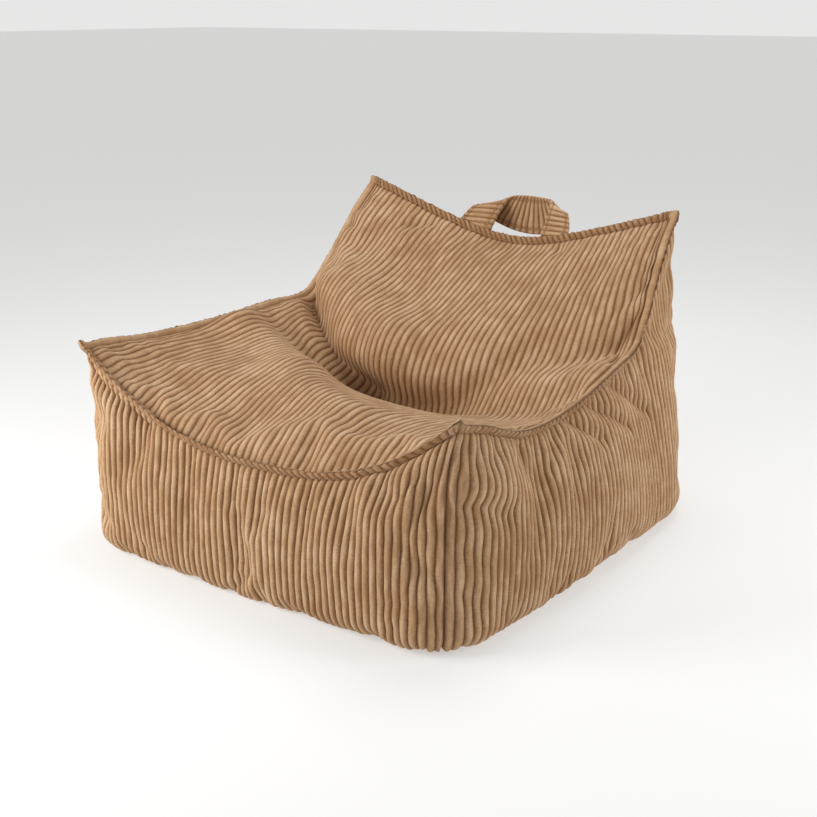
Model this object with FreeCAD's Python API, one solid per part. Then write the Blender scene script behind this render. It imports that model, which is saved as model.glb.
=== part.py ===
# Bean bag chair: a sewn corduroy cover with a carry handle and a zip, round a bead-filled
# liner. Millimetres, +Z up, the seat opens towards -Y, and the origin is on the floor under
# the middle of the chair.
import FreeCAD, Part
import math
import os

from FreeCAD import Placement, Rotation, Vector

# --- overall cover ---
WIDTH = 700.0                    # across the two front peaks
DEPTH = 800.0                    # foremost point of the front to rearmost point of the back
HEIGHT = 500.0                   # floor to the two top points
CLOTH = 2.4                      # corduroy with its pile
SEAM_GAP = 0.4                   # each panel stops this far short of the seam line

# --- base ---
BASE_HALF_WIDTH = 328.0
FRONT_CORNER_SETBACK = 20.0      # front corners, behind the foremost point
REAR_CORNER_SETBACK = 80.0       # rear corners, ahead of the rearmost point
BASE_FRONT_BOW = 12.0
BASE_SIDE_BOW = 14.0
BASE_REAR_BOW = 42.0

# --- seams of the seat and backrest, heights and setbacks from the front corners ---
PEAK_HEIGHT = 330.0              # the two front corners, pulled up
FRONT_SEAM_HEIGHT = 212.0        # middle of the front seam
FRONT_SEAM_BOW = 16.0
SIDE_DIP = (215.0, 272.0)        # lowest point of the side seam
ELBOW = (520.0, 313.0)           # where the side seam turns up the backrest
ELBOW_HALF_WIDTH = 338.0
TIP_SETBACK = 678.0
TIP_HALF_WIDTH = 312.0
TOP_SEAM = (690.0, 424.0)        # middle of the top seam

# --- middle line of the seat and backrest panel, the same way ---
SEAT_CREST = (140.0, 252.0)
SEAT_HOLLOW = (385.0, 222.0)
BACKREST_BELLY = (560.0, 315.0)

# --- how far the walls swell, and how square they stay towards their corners ---
FRONT_BULGE = 6.0
SIDE_BULGE = 5.5
BACK_BULGE = 55.5
FRONT_SQUARENESS = 4
BACK_SQUARENESS = 8              # the back stays straight behind its zip
SEAT_SQUARENESS = 2.4

# --- carry handle ---
STRAP_WIDTH = 48.0
STRAP_THICKNESS = 5.0
HANDLE_SPAN = 230.0              # outside to outside
HANDLE_LEG_WIDTH = 68.0
HANDLE_REACH = 58.0              # from its hinge line to the grip
HANDLE_LEAN = 12.0               # degrees above level at rest
HANDLE_LIFT = 11.0               # hinge line above the middle of the top seam
BARTACK = (44.0, 2.0, 0.8)

# --- zip across the back ---
ZIP_HEIGHT = 60.0
ZIP_LENGTH = 400.0
ZIP_RECESS = 7.5                 # face of the tapes behind the face of the back
ZIP_OPENING = 11.0
ZIP_WINDOW_DEPTH = 40.0          # of the cut through the back for it
TAPE_OVERRUN = 6.0               # tapes past each end of the coils
TAPE = (ZIP_LENGTH + 2 * TAPE_OVERRUN, 0.8, 15.0)
COIL = (1.8, 2.6)                # thickness and height of one side
COIL_GAP = 0.3
ZIP_CLEAR = 0.3
STOP_LENGTH = 3.0
SLIDER_LENGTH = 11.0
SLIDER_WALL = 1.0
BAIL_RADIUS = 0.6
BAIL_LIFT = 2.2
BAIL_SPAN = 5.0
BAIL_SINK = 0.1                  # its posts reach this far into the cap
SLIDER_ROUND = 0.45
PULL_LENGTH = 24.0
PULL_WIDTH = 4.2
PULL_THICKNESS = 1.4
PULL_EYE_RADIUS = 1.6
PULL_ROUND = 1.68

# --- stitching and label ---
STITCH_INSET = 14.0              # top stitching, in from the seam line
STITCH_LENGTH = 5.5
STITCH_PITCH = 9.0
THREAD_RADIUS = 0.5
THREAD_CLEAR = 0.2
LABEL = (24.0, 0.4, 40.0)
LABEL_HEIGHT = 110.0

# --- inside ---
LINER_CLEAR = 26.0
LINER_CLOTH = 1.0
LINER_SEAM_HEIGHT = 120.0
LINER_HALF_WIDTH = 285.0
FILL_CLEAR = 1.5
LINER_SECTIONS = (-1, -0.7, -0.35, 0, 0.35, 0.7, 1)      # shares of its half width

FRONT_Y = -DEPTH / 2
CORNER_Y = FRONT_Y + FRONT_CORNER_SETBACK
REAR_CORNER_Y = DEPTH / 2 - REAR_CORNER_SETBACK
PANEL_GRID = 19
NEAR = 0.01


def mix(a, b, t):
    return a + (b - a) * t


def spline(points):
    curve = Part.BSplineCurve()
    curve.interpolate([Vector(*point) for point in points])
    first, last = curve.FirstParameter, curve.LastParameter
    return lambda t: curve.value(mix(first, last, t))


# --- shape of the cover ---------------------------------------------------------------------
# The right-hand side seam runs from the front peak over its dip and elbow to the top point.
side_seam = spline([
    (WIDTH / 2, CORNER_Y, PEAK_HEIGHT),
    (WIDTH / 2, CORNER_Y + 0.45 * SIDE_DIP[0], mix(PEAK_HEIGHT, SIDE_DIP[1], 0.72)),
    (WIDTH / 2, CORNER_Y + SIDE_DIP[0], SIDE_DIP[1]),
    (mix(WIDTH / 2, ELBOW_HALF_WIDTH, 0.5), CORNER_Y + mix(SIDE_DIP[0], ELBOW[0], 0.55),
     mix(SIDE_DIP[1], ELBOW[1], 0.3)),
    (ELBOW_HALF_WIDTH, CORNER_Y + ELBOW[0], ELBOW[1]),
    (mix(ELBOW_HALF_WIDTH, TIP_HALF_WIDTH, 0.45), CORNER_Y + mix(ELBOW[0], TIP_SETBACK, 0.5),
     mix(ELBOW[1], HEIGHT, 0.44)),
    (TIP_HALF_WIDTH, CORNER_Y + TIP_SETBACK, HEIGHT),
])

middle_line = spline([(0, CORNER_Y - FRONT_SEAM_BOW, FRONT_SEAM_HEIGHT)] + [
    (0, CORNER_Y + setback, height)
    for setback, height in (SEAT_CREST, SEAT_HOLLOW, BACKREST_BELLY, TOP_SEAM)])


# Every surface takes two numbers from 0 to 1: across from left to right, or along a side from
# front to rear, then upwards, or from front to rear.
def seat_surface(a, b):
    edge, middle, u = side_seam(b), middle_line(b), 2 * a - 1
    sag = 1 - abs(u) ** SEAT_SQUARENESS
    return Vector(edge.x * u, mix(edge.y, middle.y, sag), mix(edge.z, middle.z, sag))


def base_edge(a, corner_y, bow, squareness):
    u = 2 * a - 1
    return Vector(BASE_HALF_WIDTH * u, corner_y + bow * (1 - abs(u) ** squareness), 0)


def belly(b):
    return math.sin(math.pi * b) * (1.45 - 0.9 * b)


def wall_surface(foot, head, bulge, squareness, a, b):
    u = 2 * a - 1
    return mix(foot, head, b) + Vector(0, bulge * belly(b) * (1 - abs(u) ** squareness), 0)


def front_surface(a, b):
    foot = base_edge(a, CORNER_Y, -BASE_FRONT_BOW, FRONT_SQUARENESS)
    return wall_surface(foot, seat_surface(a, 0), -FRONT_BULGE, FRONT_SQUARENESS, a, b)


def back_surface(a, b):
    foot = base_edge(a, REAR_CORNER_Y, BASE_REAR_BOW, BACK_SQUARENESS)
    return wall_surface(foot, seat_surface(a, 1), BACK_BULGE, BACK_SQUARENESS, a, b)


def side_surface(a, b):
    bow = math.sin(math.pi * a)
    foot = Vector(BASE_HALF_WIDTH + BASE_SIDE_BOW * bow, mix(CORNER_Y, REAR_CORNER_Y, a), 0)
    return mix(foot, side_seam(a), b) + Vector(SIDE_BULGE * bow * belly(b), 0, 0)


def base_surface(a, b):
    front = base_edge(a, CORNER_Y, -BASE_FRONT_BOW, FRONT_SQUARENESS)
    rear = base_edge(a, REAR_CORNER_Y, BASE_REAR_BOW, BACK_SQUARENESS)
    side = side_surface(b, 0)
    return Vector(side.x * (2 * a - 1), mix(front.y, rear.y, b), 0)


# --- panels of cloth ------------------------------------------------------------------------
STEP = 1e-3


def slopes(surface, a, b):
    a0, a1 = max(a - STEP, 0.0), min(a + STEP, 1.0)
    b0, b1 = max(b - STEP, 0.0), min(b + STEP, 1.0)
    return ((surface(a1, b) - surface(a0, b)) / (a1 - a0),
            (surface(a, b1) - surface(a, b0)) / (b1 - b0))


def normal(surface, sign, a, b):
    across, along = slopes(surface, a, b)
    return (across.cross(along) * sign).normalize()


def seat_normal(a, b):
    return normal(seat_surface, 1, a, b)


def front_normal(a, b):
    return normal(front_surface, 1, a, b)


def back_normal(a, b):
    return normal(back_surface, -1, a, b)


def side_normal(a, b):
    return normal(side_surface, 1, a, b)


def left_side_normal(a, b):
    right = side_normal(a, b)
    return Vector(-right.x, right.y, right.z)


def base_normal(a, b):
    return Vector(0, 0, -1)


def inset(normals, depth):
    """The step inwards that ends at the same depth below every one of up to three faces."""
    if len(normals) == 1:
        return normals[0] * -depth
    if len(normals) == 2:
        first, second = normals
        return (first + second) * (-depth / (1 + first.dot(second)))
    first, second, third = normals
    crossed = second.cross(third) + third.cross(first) + first.cross(second)
    return crossed * (-depth / first.dot(second.cross(third)))


def interpolated(grid):
    surface = Part.BSplineSurface()
    surface.interpolate(grid)
    return surface


def border(surface):
    first_a, last_a, first_b, last_b = surface.bounds()
    return [surface.vIso(first_b).toShape(), surface.uIso(last_a).toShape(),
            surface.vIso(last_b).toShape(), surface.uIso(first_a).toShape()]


def face_of(surface, flat):
    return Part.Face(Part.Wire(border(surface))) if flat else surface.toShape()


def cloth_panel(surface, own_normal, low_a, high_a, low_b, high_b, flat=False):
    """A panel of even thickness. Each of the four edges is given by the neighbour's normal
    there, and is mitred against that neighbour, a seam gap away from it."""
    outer, inner = [], []
    for i in range(PANEL_GRID):
        a = i / (PANEL_GRID - 1)
        outer_row, inner_row = [], []
        for j in range(PANEL_GRID):
            b = j / (PANEL_GRID - 1)
            faces = [own_normal(a, b)]
            across, along = slopes(surface, a, b)
            shift = Vector(0, 0, 0)
            if a in (0.0, 1.0):
                faces.append((high_a if a else low_a)(b))
                inward = across - along * (across.dot(along) / along.dot(along))
                shift += inward.normalize() * (-SEAM_GAP if a else SEAM_GAP)
            if b in (0.0, 1.0):
                faces.append((high_b if b else low_b)(a))
                inward = along - across * (along.dot(across) / across.dot(across))
                shift += inward.normalize() * (-SEAM_GAP if b else SEAM_GAP)
            point = surface(a, b) + shift
            outer_row.append(point)
            inner_row.append(point + inset(faces, CLOTH))
        outer.append(outer_row)
        inner.append(inner_row)
    outer, inner = interpolated(outer), interpolated(inner)
    walls = [Part.makeRuledSurface(one, other) for one, other in zip(border(outer), border(inner))]
    shell = Part.makeShell([face_of(outer, flat), face_of(inner, flat)] + walls)
    shell.sewShape()
    solid = Part.makeSolid(Part.Shell(shell.Faces))
    if solid.Volume < 0:
        solid.reverse()
    return solid, outer


def mirrored(shape):
    return shape.mirror(Vector(0, 0, 0), Vector(1, 0, 0))


def block(size, centre):
    corner = Vector(*centre) - Vector(*size) / 2
    return Part.makeBox(*size, corner)


def grouped(shapes):
    return Part.makeCompound(shapes)


def cover_panels():
    seat, seat_face = cloth_panel(
        seat_surface, seat_normal,
        lambda b: left_side_normal(b, 1), lambda b: side_normal(b, 1),
        lambda a: front_normal(a, 1), lambda a: back_normal(a, 1))
    front, _ = cloth_panel(
        front_surface, front_normal,
        lambda b: left_side_normal(0, b), lambda b: side_normal(0, b),
        lambda a: base_normal(a, 0), lambda a: seat_normal(a, 0))
    side, _ = cloth_panel(
        side_surface, side_normal,
        lambda b: front_normal(1, b), lambda b: back_normal(1, b),
        lambda a: base_normal(1, a), lambda a: seat_normal(1, a))
    back, back_face = cloth_panel(
        back_surface, back_normal,
        lambda b: left_side_normal(1, b), lambda b: side_normal(1, b),
        lambda a: base_normal(a, 1), lambda a: seat_normal(a, 1))
    base, _ = cloth_panel(
        base_surface, base_normal,
        lambda b: left_side_normal(b, 0), lambda b: side_normal(b, 0),
        lambda a: front_normal(a, 0), lambda a: back_normal(a, 0), flat=True)
    panels = {"seat_back_panel": seat, "front_panel": front, "side_panel_right": side,
              "side_panel_left": mirrored(side), "base_panel": base}
    return panels, back, seat_face, back_face


# --- zip ------------------------------------------------------------------------------------
def zip_frame():
    """Places local parts on the back: local X is the way the zip runs, Y is out of the back."""
    low, high = 0.0, 0.5
    while high - low > 1e-9:
        middle = (low + high) / 2
        if back_surface(0.5, middle).z < ZIP_HEIGHT:
            low = middle
        else:
            high = middle
    out = back_normal(0.5, low)
    tilt = math.degrees(math.atan2(out.z, out.y))
    return Placement(back_surface(0.5, low), Rotation(Vector(1, 0, 0), tilt))


def split_back(back, frame):
    """The back panel parted at the height of the zip and opened for it."""
    window_length = ZIP_LENGTH + 2 * STOP_LENGTH + 2 * SLIDER_LENGTH
    window = block((window_length, ZIP_WINDOW_DEPTH, ZIP_OPENING), (0, 0, 0))
    window.Placement = frame.multiply(window.Placement)
    lower = block((2 * WIDTH, 2 * DEPTH, ZIP_HEIGHT - SEAM_GAP), (0, 0, (ZIP_HEIGHT - SEAM_GAP) / 2))
    upper = block((2 * WIDTH, 2 * DEPTH, HEIGHT), (0, 0, ZIP_HEIGHT + SEAM_GAP + HEIGHT / 2))
    return {"back_panel": back.common(upper).cut(window),
            "back_lower_strip": back.common(lower).cut(window)}


def zip_fixed():
    tape_y = -ZIP_RECESS - TAPE[1] / 2
    tape_z = COIL_GAP / 2 + TAPE[2] / 2
    coil_y = -ZIP_RECESS + ZIP_CLEAR / 2 + COIL[0] / 2
    coil_z = COIL_GAP / 2 + COIL[1] / 2
    stop = (STOP_LENGTH, COIL[0], 2 * COIL[1] + COIL_GAP)
    stop_x = ZIP_LENGTH / 2 + STOP_LENGTH / 2 + ZIP_CLEAR
    return {
        "zip_tape_upper": block(TAPE, (0, tape_y, tape_z)),
        "zip_tape_lower": block(TAPE, (0, tape_y, -tape_z)),
        "zip_coil_upper": block((ZIP_LENGTH, *COIL), (0, coil_y, coil_z)),
        "zip_coil_lower": block((ZIP_LENGTH, *COIL), (0, coil_y, -coil_z)),
        "zip_stop_open": block(stop, (-stop_x, coil_y, 0)),
        "zip_stop_closed": block(stop, (stop_x, coil_y, 0)),
    }


COIL_FACE = -ZIP_RECESS + ZIP_CLEAR / 2 + COIL[0]
SLIDER_X = ZIP_LENGTH / 2 - SLIDER_LENGTH / 2
SLIDER_FACE = COIL_FACE + ZIP_CLEAR + SLIDER_WALL
BAIL_Y = SLIDER_FACE + BAIL_LIFT


def zip_slider():
    """A cap that runs over both coils, with a bail for its pull."""
    inner = COIL[1] * 2 + COIL_GAP + 2 * ZIP_CLEAR
    outer = inner + 2 * SLIDER_WALL
    depth = COIL[0] + SLIDER_WALL
    cap = block((SLIDER_LENGTH, depth, outer), (SLIDER_X, SLIDER_FACE - depth / 2, 0))
    groove = block((2 * SLIDER_LENGTH, depth, inner),
                   (SLIDER_X, SLIDER_FACE - depth / 2 - SLIDER_WALL, 0))
    cap_edges = [edge for edge in cap.Edges if edge.CenterOfMass.y > SLIDER_FACE - NEAR]
    cap = cap.makeFillet(SLIDER_ROUND, cap_edges)
    cap = cap.cut(groove)
    post_height = BAIL_LIFT + BAIL_RADIUS + BAIL_SINK
    for end in (-1, 1):
        post = block((2 * BAIL_RADIUS, post_height, 2 * BAIL_RADIUS),
                     (SLIDER_X, SLIDER_FACE + post_height / 2 - BAIL_SINK, end * BAIL_SPAN / 2))
        cap = cap.fuse(post)
    bar = Part.makeCylinder(BAIL_RADIUS, BAIL_SPAN, Vector(SLIDER_X, BAIL_Y, -BAIL_SPAN / 2))
    return cap.fuse(bar).removeSplitter()


def zip_pull():
    eye_width = BAIL_SPAN - 2 * BAIL_RADIUS - 2 * ZIP_CLEAR
    eye = Part.makeCylinder(PULL_EYE_RADIUS, eye_width, Vector(SLIDER_X, BAIL_Y, -eye_width / 2))
    tab = block((PULL_LENGTH, PULL_THICKNESS, PULL_WIDTH), (SLIDER_X - PULL_LENGTH / 2, BAIL_Y, 0))
    far_edges = [edge for edge in tab.Edges
                 if edge.Length < PULL_THICKNESS + NEAR and edge.CenterOfMass.x < SLIDER_X - NEAR]
    tab = tab.makeFillet(PULL_ROUND, far_edges)
    neck = block((PULL_EYE_RADIUS * 4, PULL_THICKNESS * 2, PULL_WIDTH + 1), (SLIDER_X, BAIL_Y, 0))
    slim = block((PULL_EYE_RADIUS * 4, PULL_THICKNESS * 2, eye_width), (SLIDER_X, BAIL_Y, 0))
    tab = tab.cut(neck.cut(slim))
    hole = Part.makeCylinder(BAIL_RADIUS + ZIP_CLEAR, BAIL_SPAN, Vector(SLIDER_X, BAIL_Y, -BAIL_SPAN / 2))
    return tab.fuse(eye).cut(hole).removeSplitter()


def zip_parts(frame):
    parts = zip_fixed()
    parts["zip_slider"] = zip_slider()
    parts["zip_pull"] = zip_pull()
    for shape in parts.values():
        shape.Placement = frame.multiply(shape.Placement)
    return parts


# --- handle ---------------------------------------------------------------------------------
def carry_handle():
    """Two legs from the hinge line behind the top seam, and an upright grip across them."""
    pivot = seat_surface(0.5, 1) + Vector(0, 0, HANDLE_LIFT)
    half = STRAP_THICKNESS / 2
    leg_x = (HANDLE_SPAN - HANDLE_LEG_WIDTH) / 2
    lean = Rotation(Vector(1, 0, 0), HANDLE_LEAN)
    reach = lean.multVec(Vector(0, HANDLE_REACH, 0))
    grip_centre = pivot + reach + Vector(0, 0, STRAP_WIDTH / 2 - half)
    grip = block((HANDLE_SPAN, STRAP_THICKNESS, STRAP_WIDTH), grip_centre)
    top_corners = [edge for edge in grip.Edges
                   if abs(edge.Length - STRAP_THICKNESS) < NEAR and edge.CenterOfMass.z > grip_centre.z]
    grip = grip.makeFillet(STRAP_WIDTH / 3, top_corners)
    tacks = []
    for end in (-1, 1):
        leg = block((HANDLE_LEG_WIDTH, HANDLE_REACH, STRAP_THICKNESS), (0, HANDLE_REACH / 2, 0))
        root = Part.makeCylinder(half, HANDLE_LEG_WIDTH, Vector(-HANDLE_LEG_WIDTH / 2, 0, 0),
                                 Vector(1, 0, 0))
        leg = leg.fuse(root)
        tack = block(BARTACK, (0, STRAP_THICKNESS * 2, half + THREAD_CLEAR + BARTACK[2] / 2))
        place = Placement(pivot + Vector(end * leg_x, 0, 0), lean)
        leg.Placement = place
        tack.Placement = place.multiply(tack.Placement)
        grip = grip.fuse(leg)
        tacks.append(tack)
    stitches = []
    row_length = HANDLE_SPAN - 2 * STRAP_WIDTH
    count = int(row_length / STITCH_PITCH)
    for edge_z in (-1, 1):
        for i in range(count):
            x = (i - (count - 1) / 2) * STITCH_PITCH - STITCH_LENGTH / 2
            start = grip_centre + Vector(x, -half - THREAD_CLEAR - THREAD_RADIUS,
                                         edge_z * (STRAP_WIDTH / 2 - STRAP_THICKNESS * 1.6))
            stitches.append(Part.makeCylinder(THREAD_RADIUS, STITCH_LENGTH, start, Vector(1, 0, 0)))
    return {"carry_handle": grip.removeSplitter(), "handle_bartacks": grouped(tacks),
            "handle_topstitch": grouped(stitches)}


# --- stitching and label --------------------------------------------------------------------
def stitch_row(face, run, outward):
    """Short threads along a line of a panel, just clear of its face."""
    stitches = []
    steps = int(run.length() / STITCH_PITCH)
    for i in range(2, steps - 1):
        t = run.parameterAtDistance(i * STITCH_PITCH)
        point = run.value(t)
        way = run.tangent(t)[0]
        out = face.normal(*face.parameter(point)) * outward
        start = point + out * (THREAD_RADIUS + THREAD_CLEAR) - way * (STITCH_LENGTH / 2)
        stitches.append(Part.makeCylinder(THREAD_RADIUS, STITCH_LENGTH, start, way))
    return grouped(stitches)


def top_stitching(face):
    first_a, last_a, first_b, last_b = face.bounds()
    outward = 1 if face.normal((first_a + last_a) / 2, first_b).z > 0 else -1
    share_a = STITCH_INSET / WIDTH
    share_b = STITCH_INSET / middle_line_length()
    front = face.vIso(mix(first_b, last_b, share_b))
    top = face.vIso(mix(last_b, first_b, share_b))
    left = face.uIso(mix(first_a, last_a, share_a))
    right = face.uIso(mix(last_a, first_a, share_a))
    return {"topstitch_front": stitch_row(face, front, outward),
            "topstitch_top": stitch_row(face, top, outward),
            "topstitch_left": stitch_row(face, left, outward),
            "topstitch_right": stitch_row(face, right, outward)}


def middle_line_length(steps=60):
    points = [middle_line(i / steps) for i in range(steps + 1)]
    return sum((q - p).Length for p, q in zip(points, points[1:]))


def care_label():
    """A blank tab sewn into the left rear corner seam, standing out between the two panels."""
    share = LABEL_HEIGHT / HEIGHT
    seam = side_surface(1, share)
    away = (side_normal(1, share) + back_normal(1, share)).normalize()
    angle = math.degrees(math.atan2(away.y, away.x))
    tab = block(LABEL, (LABEL[0] / 2 + 4 * SEAM_GAP, 0, 0))
    tab.Placement = Placement(seam, Rotation(Vector(0, 0, 1), angle)).multiply(tab.Placement)
    return mirrored(tab)


# --- liner and beads ------------------------------------------------------------------------
def inside_section(share, clear):
    """A closed outline across the chair's depth, a stated distance inside the cover."""
    x = share * (LINER_HALF_WIDTH + LINER_CLEAR - clear)
    a = 0.5 + x / (2 * BASE_HALF_WIDTH)
    points = []
    for b in (0.12, 0.5, 0.85):
        points.append(front_surface(a, b) - front_normal(a, b) * clear)
    for b in (0.12, 0.3, 0.45, 0.58, 0.7, 0.82, 0.92):
        points.append(seat_surface(a, b) - seat_normal(a, b) * clear)
    for b in (0.88, 0.65, 0.4, 0.15):
        points.append(back_surface(a, b) - back_normal(a, b) * clear)
    for b in (0.85, 0.5, 0.15):
        points.append(base_surface(a, b) + Vector(0, 0, clear))
    flat = [Vector(x, point.y, point.z) for point in points]
    curve = Part.BSplineCurve()
    curve.interpolate(flat, PeriodicFlag=True)
    return Part.Wire(curve.toShape())


def inside_body(clear):
    return Part.makeLoft([inside_section(share, clear) for share in LINER_SECTIONS], True)


def inside_parts():
    outer = inside_body(LINER_CLEAR)
    inner = inside_body(LINER_CLEAR + LINER_CLOTH)
    beads = inside_body(LINER_CLEAR + LINER_CLOTH + FILL_CLEAR)
    skin = outer.cut(inner)
    reach = 2 * WIDTH
    low_corner = Vector(-reach, -reach, 0)
    low = Part.makeBox(2 * reach, 2 * reach, LINER_SEAM_HEIGHT - SEAM_GAP / 2, low_corner)
    high_corner = Vector(-reach, -reach, LINER_SEAM_HEIGHT + SEAM_GAP / 2)
    high = Part.makeBox(2 * reach, 2 * reach, HEIGHT, high_corner)
    return {"liner_tray": skin.common(low), "liner_top": skin.common(high), "bead_fill": beads}


def main():
    parts, back, seat_face, back_face = cover_panels()
    frame = zip_frame()
    parts.update(split_back(back, frame))
    parts.update(zip_parts(frame))
    parts.update(carry_handle())
    parts.update(top_stitching(seat_face))
    parts["care_label"] = care_label()
    parts.update(inside_parts())
    os.makedirs("parts", exist_ok=True)
    for name, shape in parts.items():
        shape.exportStep("parts/%s.step" % name)
        box = shape.BoundBox
        print("%-18s solids %3d volume %12.1f valid %s box %6.1f %6.1f %6.1f to %6.1f %6.1f %6.1f" % (
            name, len(shape.Solids), shape.Volume, shape.isValid(),
            box.XMin, box.YMin, box.ZMin, box.XMax, box.YMax, box.ZMax))


main()
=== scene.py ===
import math

import bpy
import bmesh
import numpy as np
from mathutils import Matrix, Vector
from mathutils.kdtree import KDTree


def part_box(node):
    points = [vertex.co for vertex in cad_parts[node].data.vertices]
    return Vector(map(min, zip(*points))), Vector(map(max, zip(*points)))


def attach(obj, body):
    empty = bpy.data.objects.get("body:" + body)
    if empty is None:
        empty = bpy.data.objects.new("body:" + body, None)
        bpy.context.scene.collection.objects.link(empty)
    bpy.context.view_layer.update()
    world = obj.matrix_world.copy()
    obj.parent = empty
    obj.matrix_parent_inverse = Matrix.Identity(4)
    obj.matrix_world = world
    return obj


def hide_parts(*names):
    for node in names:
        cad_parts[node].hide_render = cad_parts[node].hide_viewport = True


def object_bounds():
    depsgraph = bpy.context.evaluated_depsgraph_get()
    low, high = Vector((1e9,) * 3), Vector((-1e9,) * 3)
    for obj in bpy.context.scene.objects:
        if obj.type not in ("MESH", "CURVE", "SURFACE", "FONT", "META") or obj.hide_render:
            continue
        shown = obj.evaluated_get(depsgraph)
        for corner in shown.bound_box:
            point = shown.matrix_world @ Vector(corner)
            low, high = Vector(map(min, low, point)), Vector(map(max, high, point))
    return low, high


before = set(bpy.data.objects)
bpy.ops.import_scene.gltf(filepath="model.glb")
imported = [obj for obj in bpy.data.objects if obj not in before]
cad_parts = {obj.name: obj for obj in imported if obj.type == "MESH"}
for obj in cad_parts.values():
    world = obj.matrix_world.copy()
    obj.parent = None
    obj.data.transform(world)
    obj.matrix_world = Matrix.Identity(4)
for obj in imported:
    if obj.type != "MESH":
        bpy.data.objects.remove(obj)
cadBounds = [list(corner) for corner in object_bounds()]
bpy.ops.object.select_all(action="DESELECT")
scene = bpy.context.scene

# the lines that the cover is drawn from
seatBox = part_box("seat_back_panel")
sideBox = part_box("side_panel_right")
frontY, rearY = cadBounds[0][1], cadBounds[1][1]
cornerY = sideBox[0][1]
peakX, topZ = seatBox[1][0], seatBox[1][2]

# each stop is how far along the panel, then its place: x, y, z
seams = {
    "right": [(0, (peakX, cornerY, 0.333)), (0.12, (0.349, -0.292, 0.297)), (0.30, (0.347, -0.185, 0.270)),
              (0.47, (0.345, -0.045, 0.280)), (0.60, (0.340, 0.065, 0.300)), (0.69, (0.336, 0.130, 0.317)),
              (0.735, (0.333, 0.156, 0.340)),
              (0.84, (0.322, 0.215, 0.408)), (1, (0.310, 0.302, topZ))],
    "left": [(0, (-peakX, cornerY, 0.329)), (0.12, (-0.349, -0.300, 0.315)), (0.30, (-0.348, -0.190, 0.307)),
             (0.47, (-0.345, -0.045, 0.308)), (0.60, (-0.341, 0.065, 0.312)), (0.68, (-0.338, 0.132, 0.315)),
             (0.725, (-0.334, 0.158, 0.334)),
             (0.84, (-0.325, 0.220, 0.405)), (1, (-0.312, 0.303, topZ + 0.010))],
    "middle": [(0, (0, frontY + 0.005, 0.212)), (0.10, (0, -0.322, 0.252)), (0.20, (0, -0.240, 0.265)),
               (0.32, (0, -0.140, 0.247)), (0.42, (0, -0.060, 0.213)), (0.50, (0, -0.012, 0.200)),
               (0.57, (0, 0.006, 0.243)), (0.66, (0, 0.050, 0.292)), (0.76, (0, 0.124, 0.336)),
               (0.88, (0, 0.216, 0.383)), (1, (0, 0.309, 0.424))],
}
# the body's plan: a rounded box that the walls follow between their foot and their seam
plan = {
    "halfWidth": 0.346, "front": frontY + 0.004, "rear": rearY - 0.012,
    "frontCorner": 0.080, "rearCorner": 0.165,
    "frontBow": 0.006, "sideBow": 0.018, "rearBow": 0.012,
}
# how a wall rolls out at its foot, leans towards its seam and bellies between them
walls = {
    "footRoll": 0.034, "frontRise": 6.0, "rearRise": 1.15,
    "sideBelly": 0.004, "frontBelly": 0.004, "backBelly": 0.008,
}
# how the seat hangs between its side seams, as powers left and right, and as a soft bend at the top
sag = {"leftPower": 2.15, "rightPower": 2.8, "softness": 0.32, "bendFrom": 0.75}
seam = {"flange": 0.0140, "ply": 0.0026, "rings": 7, "groove": 0.0016, "lean": 0.0085, "cornerReach": 0.74}
wale = {"pitch": 0.0125, "columns": 8, "height": 0.0036, "seatShare": 0.52, "across": 58, "deep": 60}
gridSize = {"across": 41, "along": 49, "up": 17}
fineRows = {"seat": 181, "front": 57, "side": 67, "back": 77, "strip": 17, "base": 61}


def mix(a, b, t):
    return a + (b - a) * t


def smooth(t):
    t = np.clip(t, 0.0, 1.0)
    return t * t * (3 - 2 * t)


def cubicLine(stops, t):
    # a natural cubic through the stops, read at every t
    knots = np.array([stop[0] for stop in stops], float)
    values = np.array([stop[1] for stop in stops], float)
    steps = np.diff(knots)
    size = len(knots)
    matrix, right = np.eye(size), np.zeros((size, values.shape[1]))
    for i in range(1, size - 1):
        matrix[i, i - 1:i + 2] = steps[i - 1], 2 * (steps[i - 1] + steps[i]), steps[i]
        right[i] = 6 * ((values[i + 1] - values[i]) / steps[i] - (values[i] - values[i - 1]) / steps[i - 1])
    bend = np.linalg.solve(matrix, right)
    t = np.asarray(t, float)
    i = np.clip(np.searchsorted(knots, t, side="right") - 1, 0, size - 2)
    h = steps[i][..., None]
    low, high = (t - knots[i])[..., None], (knots[i + 1] - t)[..., None]
    return (bend[i] * high ** 3 / (6 * h) + bend[i + 1] * low ** 3 / (6 * h)
            + (values[i] / h - bend[i] * h / 6) * high + (values[i + 1] / h - bend[i + 1] * h / 6) * low)


def unit(vectors):
    return vectors / np.maximum(np.linalg.norm(vectors, axis=-1, keepdims=True), 1e-9)


# how far the cover has dropped from the side seams towards the middle, 0 at the seams
def sagAcross(u, v):
    power = 1 - np.abs(u) ** np.where(u < 0, sag["leftPower"], sag["rightPower"])
    soft = sag["softness"]
    hanging = 1 - (np.sqrt(u * u + soft ** 2) - soft) / (math.sqrt(1 + soft ** 2) - soft)
    return mix(power, hanging, smooth((v - sag["bendFrom"]) / (1 - sag["bendFrom"])))


# outward directions of the three turned seams, along which their flanges stand
def sideOut(side, v):
    steep = smooth((v - 0.55) / 0.25)
    out = np.stack([mix(0.72, 0.92, steep) * side, mix(0.0, 0.12, steep), mix(0.69, 0.28, steep)], -1)
    return unit(out)


frontOut = unit(np.array([0.0, -0.62, 0.78]))
topOut = unit(np.array([0.0, 0.15, 0.98]))


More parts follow.
